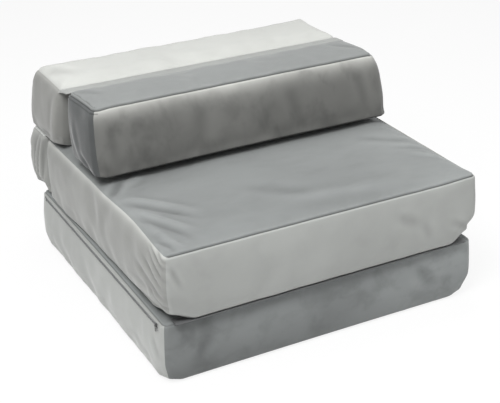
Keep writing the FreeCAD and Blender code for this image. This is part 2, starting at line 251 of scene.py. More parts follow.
LIT_AND_SHADED_VELVETS = {
    "base_top": velvet("velvet base top", 0.20, -0.03),
    "base_front": velvet("velvet base front", 0.231, -0.03, 0.22, 0.20, 0.10, (1.0, 1.0, 1.2), 0.25, 0.50),
    "base_side": velvet("velvet base side", 0.397, 0.0, 0.10, 0.04, 0.08),
    "seat_top": velvet("velvet seat top", 0.206, -0.025, 0.10, 0.07, 0.25, (0.7, 1.4, 1.0), 0.0, 0.12),
    "seat_front": velvet("velvet seat front", 0.363, 0.0, 0.08, 0.05, 0.20),
    "seat_side": velvet("velvet seat side", 0.285, 0.01, 0.08, 0.05, 0.75),
    "spine_top": velvet("velvet spine top", 0.50, 0.0, 0.08, 0.05, 0.35),
    "spine_side": velvet("velvet spine side", 0.287, 0.01, 0.14, 0.08, 0.45),
    "back_top": velvet("velvet back top", 0.483, 0.01, 0.05, 0.03, 0.05),
    "back_side": velvet("velvet back side", 0.226, 0.02, 0.12, 0.06, 0.40),
    "head_top": velvet("velvet head top", 0.220, -0.02, 0.06, 0.04, 0.10),
    "head_front": velvet("velvet head front", 0.144, 0.02, 0.18, 0.26, 2.6, (1.0, 1.0, 0.7)),
    "head_side": velvet("velvet head side", 0.070, -0.04, 0.14, 0.10, 0.30),
    "under": velvet("velvet underside", 0.24, 0.0),
    # The bolsters' underside is near black: painted shade, so that the gap under the head bolster renders dark.
    "underside_painted_shade": velvet("bolster underside painted shade", 0.045, 0.0),
}
print(len(LIT_AND_SHADED_VELVETS), "velvets")

# %% [markdown]
# ## The start of a cushion
# Each cover is sewn from flat panels round a foam block. A cube cut into an even grid keeps those panels:
# every seam is a row of edges from the start, which a voxel remesh would lose. The grid is cut with the
# Subdivide operator, one axis at a time, on the edges that run along that axis. It is coarse at first,
# because the cloth simulation runs on it, and each point keeps its place in the grid for later.

# %% A cube cut into a grid
def cut_along(piece, axis, number):
    """Cuts the active piece's edges that run along one axis, that many times."""
    bpy.ops.object.mode_set(mode="EDIT")
    bpy.ops.mesh.select_mode(type="EDGE")
    bpy.ops.mesh.select_all(action="DESELECT")
    bpy.ops.object.mode_set(mode="OBJECT")
    mesh = piece.data
    for edge in mesh.edges:
        first, second = (mesh.vertices[v].co for v in edge.vertices)
        edge.select = abs(first[axis] - second[axis]) > 1e-4
    bpy.ops.object.mode_set(mode="EDIT")
    bpy.ops.mesh.subdivide(number_cuts=number)
    bpy.ops.object.mode_set(mode="OBJECT")


def grid_cube(name, cuts):
    """A cube from -1 to 1 whose edges along x, y and z are cut that many times."""
    bpy.ops.object.select_all(action="DESELECT")
    bpy.ops.mesh.primitive_cube_add(size=2)
    block = bpy.context.active_object
    block.name = name
    for axis, number in enumerate(cuts):
        cut_along(block, axis, number)
    return block


print("a grid cube has one panel for each side of the cover")


# %% [markdown]
# ## Points as arrays
# A cover has tens of thousands of points, and a Python loop over them is slow. So they are read into one
# array, moved together and written back. Numbers that belong to a point, such as how near it lies to a
# seam, are kept on the mesh as an attribute, because subdivision carries them along and a material can
# read them.

# %% Points as arrays
def points_of(piece):
    flat = np.empty(len(piece.data.vertices) * 3)
    piece.data.vertices.foreach_get("co", flat)
    return flat.reshape(-1, 3)


def move_points(piece, points):
    piece.data.vertices.foreach_set("co", points.ravel())
    piece.data.update()


def normals_of(piece):
    flat = np.empty(len(piece.data.vertices) * 3, np.float32)
    piece.data.vertex_normals.foreach_get("vector", flat)
    return flat.reshape(-1, 3).astype(float)


def store(piece, name, values):
    """Keeps numbers or vectors per point on the mesh, where a material can read them."""
    vector = values.ndim == 2
    kind, field = ("FLOAT_VECTOR", "vector") if vector else ("FLOAT", "value")
    layer = piece.data.attributes.get(name) or piece.data.attributes.new(name, kind, "POINT")
    layer.data.foreach_set(field, values.astype(np.float32).ravel())


def recall(piece, name):
    layer = piece.data.attributes[name]
    width, field = (3, "vector") if layer.data_type == "FLOAT_VECTOR" else (1, "value")
    values = np.empty(len(layer.data) * width, np.float32)
    layer.data.foreach_get(field, values)
    return values.astype(float).reshape(-1, 3) if width == 3 else values.astype(float)


def choose(piece):
    """Selects that piece alone and makes it the active one."""
    bpy.ops.object.select_all(action="DESELECT")
    piece.select_set(True)
    bpy.context.view_layer.objects.active = piece


def subdivide(piece, levels):
    """Subdivision, applied, and smooth shading."""
    choose(piece)
    finer = piece.modifiers.new("finer", "SUBSURF")
    finer.levels = finer.render_levels = levels
    bpy.ops.object.modifier_apply(modifier=finer.name)
    bpy.ops.object.shade_smooth()


print("grid tools ready")

# %% [markdown]
# ## From cube to cushion
# The grid is then moved onto the cushion's form. In plan it has small round corners, its sides swell
# between the seams and draw in at them, its edges roll over, and its top is crowned. The rows crowd
# towards the edges, where the form bends. The foot can be wider than the top, and the whole can lean.

# %% Round plan corners
CROWDING = 1.25


def crowded(t):
    """Evenly spaced grid numbers, moved closer together towards the edges."""
    return np.tanh(CROWDING * t) / math.tanh(CROWDING)


def round_corners(x, y, half_x, half_y, radius):
    """Bends the corner squares of a rectangle's grid into quarter discs."""
    over_x = np.clip((np.abs(x) - (half_x - radius)) / radius, 0, 1)
    over_y = np.clip((np.abs(y) - (half_y - radius)) / radius, 0, 1)
    new_x = over_x * np.sqrt(1 - over_y ** 2 / 2)
    new_y = over_y * np.sqrt(1 - over_x ** 2 / 2)
    return (x + np.sign(x) * radius * (new_x - over_x), y + np.sign(y) * radius * (new_y - over_y))


def inward(x, y, half_x, half_y, radius):
    """Depth inside a round-cornered rectangle, and the direction that leads inwards."""
    qx, qy = np.abs(x) - (half_x - radius), np.abs(y) - (half_y - radius)
    outside = np.hypot(np.maximum(qx, 0), np.maximum(qy, 0))
    depth = radius - outside - np.minimum(np.maximum(qx, qy), 0)
    both = (qx > 0) & (qy > 0)
    safe = np.maximum(outside, 1e-9)
    toward_x = np.where(both, qx / safe, (qx >= qy) * 1.0)
    toward_y = np.where(both, qy / safe, (qx < qy) * 1.0)
    return np.maximum(depth, 0), -toward_x * np.sign(x), -toward_y * np.sign(y)


print("halfway out on the grid is", round(float(crowded(0.5)), 3), "of the way on the cushion")

# %% [markdown]
# ## Rolled edges and a crown
# Foam rounds off under its cover, so no edge is sharp. Each edge is rolled: the points near it are moved
# onto a quarter circle, both from the side and from the flat face. A Bevel could do that too, but it would
# cut new rows of faces, and the grid would lose its order. The crown rises from the rolled edge inwards.

# %% The cushion's form
ON_FACE = 0.9999


def seam_shares(cube, shares):
    """How strongly each point's seam shows: front, rear, left and right panels can differ."""
    front, rear, left, right = shares
    lengthways = np.clip((np.abs(cube[:, 1]) - np.abs(cube[:, 0])) * 12 + 0.5, 0, 1)
    return lengthways * np.where(cube[:, 1] < 0, front, rear) + (1 - lengthways) * np.where(cube[:, 0] < 0, left, right)


def cushion_form(piece, cube, form):
    """Moves a grid onto a cushion's form, and stores where its seams are and the painted highlight along its edges."""
    flat_top, flat_foot = cube[:, 2] > ON_FACE, cube[:, 2] < -ON_FACE
    side = ~(flat_top | flat_foot)
    u, v = crowded(cube[:, 0]), crowded(cube[:, 1])
    w = (crowded(cube[:, 2]) + 1) / 2
    drawn = 1 - 4 * w * (1 - w)
    half_x = form["wide"] / 2 - form["narrow"] * w - form["swell"] * drawn - form["draw"] * (1 - v ** 2) * drawn
    half_y = form["deep"] / 2 - form["thin"] / 2 * w - form["swell"] * drawn - form["draw"] * (1 - u ** 2) * drawn
    x, y = round_corners(u * half_x, v * half_y, half_x, half_y, form["plan"])
    depth, in_x, in_y = inward(x, y, half_x, half_y, form["plan"])
    depth[side] = 0
    z = w * form["tall"]
    for flat, roll, from_edge in ((flat_top, form["roll_top"], (1 - w) * form["tall"]),
                                  (flat_foot, form["roll_foot"], w * form["tall"])):
        a, b = np.clip(1 - depth / roll, 0, 1), np.clip(1 - from_edge / roll, 0, 1)
        shift = np.where(a > 0, roll * (1 - a / math.sqrt(2)) - depth, 0)
        drop = roll * (1 - np.sqrt(1 - a ** 2 / 2))
        side_shift = roll * (1 - np.sqrt(1 - b ** 2 / 2))
        side_drop = roll * (1 - b / math.sqrt(2)) - from_edge
        near = side & (b > 0)
        moved = np.where(flat, shift, np.where(near, side_shift, 0))
        fall = np.where(flat, drop, np.where(near, side_drop, 0))
        x, y = x + in_x * moved, y + in_y * moved
        z = z - fall * (1 if flat is flat_top else -1)
    rise = np.clip(depth / form["shoulder"], 0, 1)
    z = z + np.where(flat_top, form["crown"] * (1 - (1 - rise) ** 2), 0)
    z = z + form["wedge"] * (1 - w) * (np.clip(y / (form["deep"] / 2), -1, 1) + 1) / 2
    y = y - form["lean"] * w
    turn = np.array(form["turn"])
    move_points(piece, np.column_stack((x, y, z)) @ turn[:3, :3].T + turn[:3, 3])
    # The edge attribute stored here is a painted highlight: on the sides it fades down from the top edge, on the top it
    # fades in from the rim.
    below_top = (1 - w) * form["tall"]
    side_highlight = np.exp(-(below_top / form["highlight_reach"]) ** 1.5)
    top_highlight = flat_top * (0.6 * np.exp(-depth / 0.008) + 0.4 * np.exp(-depth / 0.05))
    store(piece, "edge", np.where(side, side_highlight, top_highlight))
    store(piece, "rim", np.where(side, np.minimum(w, 1 - w) * form["tall"], depth))
    store(piece, "upper", np.where(flat_top | (side & (w > 0.5)), 1.0, 0.0))
    store(piece, "share", seam_shares(cube, form["seams"]))


def panel_faces(piece, cube, names):
    """Gives each face the velvet of its panel: top, front and rear, sides, underside."""
    for panel in names:
        piece.data.materials.append(LIT_AND_SHADED_VELVETS[panel])
    for face in piece.data.polygons:
        spot = cube[list(face.vertices)].mean(0)
        if abs(spot[2]) > ON_FACE:
            face.material_index = 0 if spot[2] > 0 else 3
        else:
            face.material_index = 1 if abs(spot[1]) > ON_FACE else 2


print("form ready")

# %% [markdown]
# ## Filling the covers
# A sewn cover is not a machined block: the foam pushes the cloth out between the seams, and spare cloth
# ripples. Cloth simulation gives that. The seams are held, the panels are blown out a little, and the
# result is kept only up to a few millimetres, and not at all where a block rests on another one. The
# simulation runs on the coarse grid. Its travel is then put in the place of the points themselves, so that
# subdivision smooths it like any shape, and is added to the finer form.

# %% Cloth simulation, capped
FRAMES = 20
CAP = 0.006


def fill(piece, held, freedom):
    """Blows the cover out by Cloth pressure, and returns how far each point has gone, up to the cap."""
    start = points_of(piece)
    group = piece.vertex_groups.new(name="held")
    for index in np.nonzero(held > 0.01)[0]:
        group.add([int(index)], float(held[index]), "REPLACE")
    cloth = piece.modifiers.new("filling", "CLOTH")
    cloth.settings.vertex_group_mass = "held"
    cloth.settings.use_pressure = True
    cloth.settings.uniform_pressure_force = 4.0
    cloth.settings.effector_weights.gravity = 0
    cloth.settings.quality = 4
    cloth.settings.mass = 0.3
    cloth.settings.tension_stiffness = 20
    cloth.settings.compression_stiffness = 10
    cloth.settings.bending_stiffness = 1.0
    cloth.settings.shrink_min = -0.014
    cloth.point_cache.frame_start = 1
    cloth.point_cache.frame_end = FRAMES
    for number in range(1, FRAMES + 1):
        scene.frame_set(number)
    choose(piece)
    bpy.ops.object.modifier_apply(modifier=cloth.name)
    scene.frame_set(1)
    piece.vertex_groups.clear()
    travel = points_of(piece) - start
    length = np.linalg.norm(travel, axis=1)
    print(piece.name, "blown out by", round(float(length.mean()) * 1000, 1), "mm on average")
    return travel * (np.minimum(1, CAP / np.maximum(length, 1e-9)) * freedom)[:, None]


print("covers swell for", FRAMES, "frames, and by", CAP * 1000, "mm at most")


# %% [markdown]
# ## Seams, creases and dents
# On the finer mesh come the things that are narrower than the simulated cloth: the groove of each seam
# with a low ridge beside it, the creases, and a very slight unevenness. A crease is a smooth valley with
# a ridge beside it, drawn along a line on one side of the block. A pull moves a whole corner.

# %% Grooves and creases
GROOVE_WIDE = 0.0022
GROOVE_DEEP = 0.0020
RIDGE_AWAY = 0.0050


def groove_seams(piece, welt):
    """Sinks the seam line, with a low ridge on both sides of it. A welt is a second line below it."""
    rim, upper, share = recall(piece, "rim"), recall(piece, "upper"), recall(piece, "share")
    strength = share * np.where(upper > 0.5, 1.0, 0.5)
    valley = np.exp(-(rim / GROOVE_WIDE) ** 2)
    ridge = np.exp(-((rim - RIDGE_AWAY) / GROOVE_WIDE) ** 2)
    points, normals = points_of(piece), normals_of(piece)
    if welt:
        second = np.exp(-((rim - welt) / 0.0018) ** 2) * (np.abs(normals[:, 2]) < 0.9) * (normals[:, 0] < -0.3)
        valley = np.maximum(valley, second * 0.6 * upper)
    move_points(piece, points + normals * (GROOVE_DEEP * strength * (0.45 * ridge - valley))[:, None])
    line = np.maximum(np.exp(-(rim / 0.0015) ** 2), valley * (rim > 0.005))
    store(piece, "seam", np.clip(line * strength, 0, 1))


def crease_lines(piece, lines):
    """Draws creases. A line is (facing, start, end, width, depth); a negative depth raises a ridge."""
    points, normals = points_of(piece), normals_of(piece)
    total = np.zeros(len(points))
    for facing, start, end, width, depth in lines:
        facing, start, end = np.array(facing), np.array(start), np.array(end)
        mask = np.clip(normals @ facing * 1.8 - 0.4, 0, 1)
        along = end - start
        t = np.clip((points - start) @ along / (along @ along), 0, 1)
        off = points - (start + t[:, None] * along)
        off -= (off @ facing)[:, None] * facing
        far = np.linalg.norm(off, axis=1) / width
        fade = np.minimum(1, np.minimum(t, 1 - t) * 3 + 0.1)
        total += mask * fade * depth * (np.exp(-far ** 2) - 0.4 * np.exp(-((far - 1.7) / 0.9) ** 2))
    move_points(piece, points - normals * total[:, None])
    # This value is used only to paint shade in the valleys and light on the ridges.
    store(piece, "crease_shade", np.clip(total / 0.003, -0.6, 1))


print("seam grooves are", GROOVE_DEEP * 1000, "mm deep")

# %% Pulls and unevenness
def pull(piece, centre, reach, move):
    """Moves all that lies within an ellipsoid, most at its centre, nothing at its rim."""
    points = points_of(piece)
    far = (((points - np.array(centre)) / np.array(reach)) ** 2).sum(1)
    move_points(piece, points + ((1 - np.minimum(far, 1)) ** 2)[:, None] * np.array(move))


RIPPLE_HIGH, RIPPLE_LONG = 0.0012, 0.09


def ripple(piece, seed, freedom):
    """A slight unevenness, different on each block."""
    points, normals = points_of(piece), normals_of(piece)
    shift = Vector((seed * 3.7, seed * 1.3, seed * 2.1))
    lift = np.array([noise.fractal(Vector(p) / RIPPLE_LONG + shift, 0.9, 2.0, 3) for p in points])
    move_points(piece, points + normals * (lift * freedom * RIPPLE_HIGH)[:, None])


print("detail tools ready")

# %% [markdown]
# ## The five blocks
# Their sizes are the CAD's. The covers' forms are given here once, then made by the same steps. The head
# bolster hangs on the web at the back bolster's front edge, so its turn starts at that fold.

# %% Sizes of the blocks
SEAT_FLOOR = cad_corner("seat_bottom", 0)[2]
BACK_FLOOR = cad_corner("back_wrap", 0)[2]
HEAD_FOLD = np.array((-0.006, 0.2015, 0.4866))
HEAD_TILT = math.radians(-4.5)
HEAD_TALL, HEAD_DEEP, HEAD_SLOPE, WEB_WIDE, SWELL = 0.162, 0.172, 0.030, 0.036, 0.0035


def level(x, y, z):
    return Matrix.Translation((x, y, z))


head_reach = HEAD_DEEP / 2 + HEAD_SLOPE - SWELL + WEB_WIDE
head_turn = level(*HEAD_FOLD) @ Matrix.Rotation(HEAD_TILT, 4, "X") @ level(0, -head_reach, -HEAD_TALL)

PLAIN = {"narrow": 0.0, "thin": 0.0, "lean": 0.0, "wedge": 0.0, "swell": SWELL, "draw": 0.002, "plan": 0.014,
         "roll_foot": 0.008, "roll_top": 0.008, "highlight_reach": 0.010, "seams": (1.0, 1.0, 1.0, 1.0), "welt": 0.0}
BLOCKS = {
    "base": {"wide": 0.804, "deep": 0.764, "tall": 0.151, "crown": 0.004, "shoulder": 0.03, "turn": level(0, 0, 0),
             "cuts": (40, 38, 8), "roll_foot": 0.014, "seams": (0.4, 0.6, 0.6, 0.6),
             "panels": ("base_top", "base_front", "base_side", "under")},
    "seat": {"wide": 0.792, "deep": 0.722, "tall": 0.166, "crown": 0.005, "shoulder": 0.06,
             "turn": level(0, -0.035, SEAT_FLOOR), "cuts": (40, 37, 8), "roll_top": 0.010, "highlight_reach": 0.012,
             "seams": (1.0, 1.0, 0.0, 0.5), "panels": ("seat_top", "seat_front", "seat_side", "under")},
    "spine": {"wide": 0.804, "deep": 0.110, "tall": 0.165, "crown": 0.006, "shoulder": 0.024,
              "turn": level(0, 0.3813, SEAT_FLOOR), "cuts": (40, 7, 8), "seams": (0.5, 0.7, 0.3, 0.3),
              "panels": ("spine_top", "spine_side", "spine_side", "under")},
    "back": {"wide": 0.790, "deep": 0.199, "tall": 0.160, "crown": 0.008, "shoulder": 0.046, "narrow": 0.008,
             "thin": 0.010, "lean": 0.029, "turn": level(-0.006, 0.3173, BACK_FLOOR), "cuts": (40, 11, 8),
             "roll_top": 0.014, "seams": (0.0, 1.0, 0.15, 0.15),
             "panels": ("back_top", "back_side", "back_side", "underside_painted_shade")},
    "head": {"wide": 0.786, "deep": HEAD_DEEP, "tall": HEAD_TALL, "crown": 0.006, "shoulder": 0.044,
             "narrow": 0.012, "lean": -HEAD_SLOPE, "turn": head_turn, "cuts": (40, 10, 8), "roll_top": 0.011,
             "roll_foot": 0.012, "plan": 0.022, "wedge": 0.018, "highlight_reach": 0.020,
             "seams": (1.0, 0.5, 1.0, 0.8), "welt": 0.009,
             "panels": ("head_top", "head_front", "head_side", "underside_painted_shade")},
}
print(", ".join(BLOCKS))

# %% [markdown]
# ## Where the cloth is pulled
# The seat's left edge lifts towards the front, so that a dark slit opens over the base. Its front corners
# are drawn in, creases fan out over its top from the left edge, and the cloth bunches at the front left
# corner. The end of the spine's cover is loose and falls in upright folds. Points are in metres.

# %% Creases and pulls
UP, LEFT, FRONT, RIGHT, REAR = (0, 0, 1), (-1, 0, 0), (0, -1, 0), (1, 0, 0), (0, 1, 0)
CREASES = {
    "seat": (
        (UP, (-0.378, -0.105, 0.327), (-0.247, -0.257, 0.327), 0.012, -0.0030),
        (UP, (-0.376, -0.140, 0.327), (-0.262, -0.285, 0.327), 0.010, 0.0028),
        (UP, (-0.374, -0.185, 0.327), (-0.292, -0.335, 0.327), 0.010, -0.0030),
        (UP, (-0.374, -0.225, 0.327), (-0.310, -0.365, 0.327), 0.008, 0.0026),
        (UP, (-0.376, -0.267, 0.327), (-0.345, -0.380, 0.327), 0.008, -0.0024),
        (UP, (-0.382, -0.320, 0.327), (-0.364, -0.384, 0.327), 0.005, 0.0022),
        (UP, (-0.386, -0.085, 0.327), (-0.335, -0.030, 0.327), 0.012, 0.0036),
        (UP, (-0.345, -0.060, 0.327), (-0.285, -0.030, 0.327), 0.012, -0.0030),
        (UP, (0.250, -0.090, 0.327), (0.384, -0.180, 0.327), 0.014, 0.0018),
        (UP, (0.300, -0.180, 0.327), (0.388, -0.230, 0.327), 0.009, 0.0016),
        (UP, (0.310, -0.220, 0.327), (0.388, -0.290, 0.327), 0.010, -0.0018),
        (UP, (-0.100, -0.300, 0.327), (0.200, -0.340, 0.327), 0.020, -0.0016),
        (UP, (-0.120, -0.199, 0.327), (0.010, -0.290, 0.327), 0.020, 0.0016),
        (LEFT, (-0.394, -0.310, 0.314), (-0.394, -0.396, 0.288), 0.0045, 0.0030),
        (LEFT, (-0.394, -0.305, 0.300), (-0.394, -0.396, 0.262), 0.0050, 0.0032),
        (LEFT, (-0.394, -0.345, 0.318), (-0.394, -0.396, 0.303), 0.0040, 0.0024),
        (LEFT, (-0.394, -0.285, 0.280), (-0.394, -0.394, 0.236), 0.0060, 0.0030),
        (LEFT, (-0.394, -0.240, 0.252), (-0.394, -0.392, 0.214), 0.0100, 0.0030),
        (LEFT, (-0.394, -0.200, 0.182), (-0.394, -0.385, 0.202), 0.0110, -0.0034),
        (LEFT, (-0.394, -0.300, 0.222), (-0.394, -0.394, 0.188), 0.0060, 0.0028),
        (FRONT, (0.170, -0.396, 0.275), (0.235, -0.396, 0.238), 0.012, 0.0014),
        (FRONT, (0.245, -0.396, 0.245), (0.270, -0.396, 0.190), 0.010, 0.0012),
        (FRONT, (0.320, -0.396, 0.225), (0.384, -0.396, 0.190), 0.009, 0.0016),
        (FRONT, (-0.386, -0.396, 0.300), (-0.360, -0.396, 0.240), 0.006, 0.0018),
        (RIGHT, (0.394, -0.360, 0.230), (0.394, -0.200, 0.210), 0.012, 0.0022),
        (RIGHT, (0.394, 0.180, 0.280), (0.394, 0.300, 0.200), 0.012, 0.0022),
    ),
    "spine": (
        (LEFT, (-0.402, 0.364, 0.318), (-0.402, 0.410, 0.166), 0.0060, 0.0036),
        (LEFT, (-0.402, 0.345, 0.318), (-0.402, 0.384, 0.164), 0.0050, 0.0038),
        (LEFT, (-0.402, 0.333, 0.312), (-0.402, 0.352, 0.170), 0.0045, 0.0032),
        (LEFT, (-0.402, 0.385, 0.318), (-0.402, 0.428, 0.200), 0.0060, -0.0030),
        (REAR, (-0.300, 0.436, 0.300), (-0.260, 0.436, 0.190), 0.010, 0.0020),
        (REAR, (0.240, 0.436, 0.310), (0.290, 0.436, 0.180), 0.012, 0.0022),
        (RIGHT, (0.402, 0.360, 0.318), (0.402, 0.384, 0.180), 0.008, 0.0026),
    ),
    "back": (
        (LEFT, (-0.400, 0.215, 0.470), (-0.400, 0.240, 0.345), 0.012, -0.0022),
        (LEFT, (-0.400, 0.260, 0.350), (-0.400, 0.330, 0.338), 0.008, 0.0020),
        (UP, (-0.380, 0.330, 0.500), (-0.330, 0.250, 0.500), 0.016, 0.0016),
        (REAR, (-0.200, 0.410, 0.480), (-0.150, 0.410, 0.360), 0.014, 0.0022),
        (REAR, (0.180, 0.410, 0.480), (0.120, 0.410, 0.350), 0.014, 0.0022),
        (RIGHT, (0.388, 0.280, 0.470), (0.388, 0.330, 0.350), 0.012, 0.0022),
    ),
    "head": (
        (LEFT, (-0.392, 0.060, 0.380), (-0.392, 0.000, 0.350), 0.010, 0.0024),
        (LEFT, (-0.392, 0.110, 0.440), (-0.392, 0.060, 0.370), 0.012, -0.0020),
        (FRONT, (-0.350, -0.040, 0.480), (-0.345, -0.045, 0.370), 0.012, 0.0014),
        (FRONT, (-0.120, -0.040, 0.470), (-0.135, -0.045, 0.370), 0.016, 0.0016),
        (FRONT, (0.110, -0.040, 0.470), (0.130, -0.045, 0.380), 0.014, 0.0016),
        (FRONT, (0.300, -0.040, 0.480), (0.320, -0.045, 0.370), 0.012, 0.0018),
        (UP, (0.290, 0.110, 0.505), (0.370, 0.020, 0.505), 0.012, 0.0022),
        (UP, (-0.370, 0.140, 0.500), (-0.330, 0.060, 0.505), 0.010, 0.0018),
        (RIGHT, (0.382, 0.010, 0.480), (0.384, 0.060, 0.380), 0.012, 0.0026),
    ),
    "base": (
        (LEFT, (-0.400, -0.330, 0.110), (-0.400, -0.370, 0.060), 0.010, 0.0018),
        (LEFT, (-0.400, -0.200, 0.060), (-0.400, -0.330, 0.030), 0.012, 0.0014),
        (FRONT, (0.240, -0.382, 0.120), (0.300, -0.382, 0.050), 0.016, 0.0020),
        (FRONT, (-0.280, -0.382, 0.120), (-0.330, -0.382, 0.040), 0.014, 0.0020),
        (RIGHT, (0.402, -0.200, 0.120), (0.402, 0.000, 0.070), 0.014, 0.0020),
        (REAR, (-0.100, 0.382, 0.120), (0.020, 0.382, 0.050), 0.016, 0.0020),
    ),
}
PULLS = {
    "seat": (((-0.394, -0.150, 0.160), (0.05, 0.14, 0.07), (0, 0, 0.005)),
             ((-0.394, -0.290, 0.160), (0.06, 0.13, 0.08), (0, 0, 0.008)),
             ((-0.392, -0.392, 0.160), (0.07, 0.09, 0.08), (0.004, 0.006, 0.020)),
             ((0.394, -0.394, 0.160), (0.07, 0.07, 0.07), (-0.008, 0.006, 0.024)),
             ((-0.394, 0.230, 0.160), (0.03, 0.16, 0.035), (-0.004, 0, -0.003)),
             ((-0.394, 0.326, 0.240), (0.05, 0.025, 0.09), (0.005, -0.006, 0)),
             ((-0.390, 0.200, 0.322), (0.05, 0.20, 0.05), (0.003, 0, -0.007)),
             ((-0.390, -0.200, 0.326), (0.045, 0.16, 0.04), (0.004, 0, 0.004)),
             ((0.392, -0.392, 0.326), (0.10, 0.09, 0.05), (0, 0, 0.004)),
             ((-0.200, -0.060, 0.328), (0.20, 0.10, 0.02), (0, 0, -0.003))),
    "spine": (((-0.402, 0.380, 0.160), (0.05, 0.08, 0.05), (0.008, 0, 0.008)),
              ((-0.402, 0.430, 0.320), (0.05, 0.04, 0.05), (0.006, -0.006, -0.006)),
              ((-0.402, 0.330, 0.240), (0.04, 0.022, 0.09), (0.003, 0.006, 0)),
              ((-0.402, 0.400, 0.300), (0.03, 0.04, 0.04), (-0.003, 0, 0))),
    "back": (((-0.390, 0.385, 0.490), (0.05, 0.05, 0.04), (0.003, -0.003, -0.002)),
             ((-0.398, 0.225, 0.330), (0.04, 0.04, 0.04), (0.005, 0.004, 0.006))),
    "head": (((-0.006, -0.040, 0.331), (0.90, 0.075, 0.045), (0, -0.003, 0.007)),
             ((-0.390, -0.040, 0.340), (0.03, 0.03, 0.03), (0.004, 0.003, 0.002)),
             ((0.376, 0.085, 0.499), (0.022, 0.05, 0.03), (0, 0, 0.006)),
             ((0.376, 0.012, 0.505), (0.04, 0.04, 0.04), (-0.004, 0.002, -0.003)),
             ((-0.380, 0.010, 0.505), (0.05, 0.05, 0.03), (0.002, 0, -0.003))),
    "base": (((-0.402, 0.378, 0.0), (0.04, 0.04, 0.04), (0.006, -0.006, 0.004)),
             ((-0.402, -0.380, 0.0), (0.05, 0.05, 0.06), (0.008, 0.007, 0.006)),
             ((0.402, -0.380, 0.0), (0.06, 0.05, 0.06), (-0.010, 0.007, 0.006))),
}
print(sum(len(lines) for lines in CREASES.values()), "creases")

# %% Where the cloth is kept still
ZIPS = {"base": (-1, 0.1395), "seat": (1, 0.3098)}
MEETING_FRONTS = ("base", "seat")
FRONT_CALM = 0.5


def calm_beside_zip(name, points):
    """0 beside the block's zip, 1 away from it."""
    if name not in ZIPS:
        return np.ones(len(points))
    side, height = ZIPS[name]
    beside = np.clip((np.abs(points[:, 2] - height) - 0.010) / 0.030, 0, 1)
    return np.where(points[:, 0] * side > 0.385, beside, 1.0)


def resting(name, cube):
    """Where a block lies on another one, or carries one."""
    return (cube[:, 2] < -ON_FACE) | ((cube[:, 2] > ON_FACE) & (name == "base"))


print("cloth stays still beside the zips of", " and ".join(ZIPS))

# %% Make the covers
CORE_NODES = ("foam", "top", "band", "bottom", "wrap", "rear")
for number, (name, own) in enumerate(BLOCKS.items()):
    form = {**PLAIN, **own}
    piece = grid_cube(f"{name}_cover", form["cuts"])
    cube = points_of(piece)
    store(piece, "grid", cube)
    panel_faces(piece, cube, form["panels"])
    cushion_form(piece, cube, form)
    rim = recall(piece, "rim")
    held = np.where((rim < 0.002) | (cube[:, 2] < -ON_FACE), 1.0, 0.0)
    freedom = np.where(resting(name, cube), 0.0, np.clip(rim / 0.02, 0, 1)) * calm_beside_zip(name, points_of(piece))
    freedom = freedom * np.where((cube[:, 1] < -ON_FACE) & (name in MEETING_FRONTS), FRONT_CALM, 1.0)
    move_points(piece, fill(piece, held, freedom))
    subdivide(piece, 2)
    travel, cube = points_of(piece), recall(piece, "grid")
    cushion_form(piece, cube, form)
    move_points(piece, points_of(piece) + travel)
    ripple(piece, number, np.where(resting(name, cube), 0.0, calm_beside_zip(name, points_of(piece))))
    for centre, reach, move in PULLS[name]:
        pull(piece, centre, reach, move)
    groove_seams(piece, form["welt"])
    crease_lines(piece, CREASES[name])
    own_nodes = [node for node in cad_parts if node.split("_")[0] == name and node.split("_")[1] in CORE_NODES]
    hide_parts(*own_nodes)
    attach(piece, "seat" if name == "spine" else name)
    print(piece.name, len(piece.data.polygons), "faces")

# %% [markdown]
# ## Strips of cloth at the folds
# The blocks hold together by strips sewn to both sides of each fold: a folded one at the seat's front edge
# and one at the spine's rear edge, a flat one under the seat and spine, and the velvet web between the two
# bolsters. A strip is a grid whose rows follow a section and whose columns run across the chair.

# %% Lining cloth
# The lining is a woven cloth, but its near-black grey is painted shade: the strip that shows at the seat's front left
# corner reads as the dark gap there.
shade_dark_lining = Finish("lining cloth", {"Roughness": 0.85, "Sheen Weight": 0.15})
LINING_THREADS = 130.0
warp, weft = (shade_dark_lining.node("ShaderNodeTexWave", {"bands_direction": way},
                          {"Vector": shade_dark_lining.place(), "Scale": LINING_THREADS}) for way in "XY")
weave = shade_dark_lining.node("ShaderNodeMath", {"operation": "MAXIMUM"}, {0: warp, 1: weft})
slubs = shade_dark_lining.noise(60.0, 3.0, 0.6)
shade_dark_lining.drive("Base Color", shade_dark_lining.mix(0.75 + 0.15 * weave + 0.2 * (slubs - 0.5), grey(0.0), grey(0.11, -0.02)))
shade_dark_lining.drive("Roughness", 0.78 + 0.12 * weave)
shade_dark_lining.bump(weave, 0.4, 0.0002)
web_velvet = velvet("velvet web", 0.30, 0.0, 0.08, 0.04)
print("cloth for the strips")


# %% [markdown]
# ## A strip from its section
# A strip bends in one direction only, so its section says all about it: a row of points from one seam,
# round the fold, to the other seam. A grid's rows are put on those points. The length of that row, and the
# strip's length across the chair, are its flat size. Solidify then gives the cloth its thickness.

# %% A strip from its section
STRIP_THICK = 0.0006


def cloth_wall(cloth, thick, material):
    """Gives a sheet its thickness and its cloth."""
    wall = cloth.modifiers.new("wall", "SOLIDIFY")
    wall.thickness, wall.offset = thick, 0.0
    choose(cloth)
    bpy.ops.object.modifier_apply(modifier=wall.name)
    bpy.ops.object.shade_smooth()
    cloth.data.materials.append(material)
    return cloth


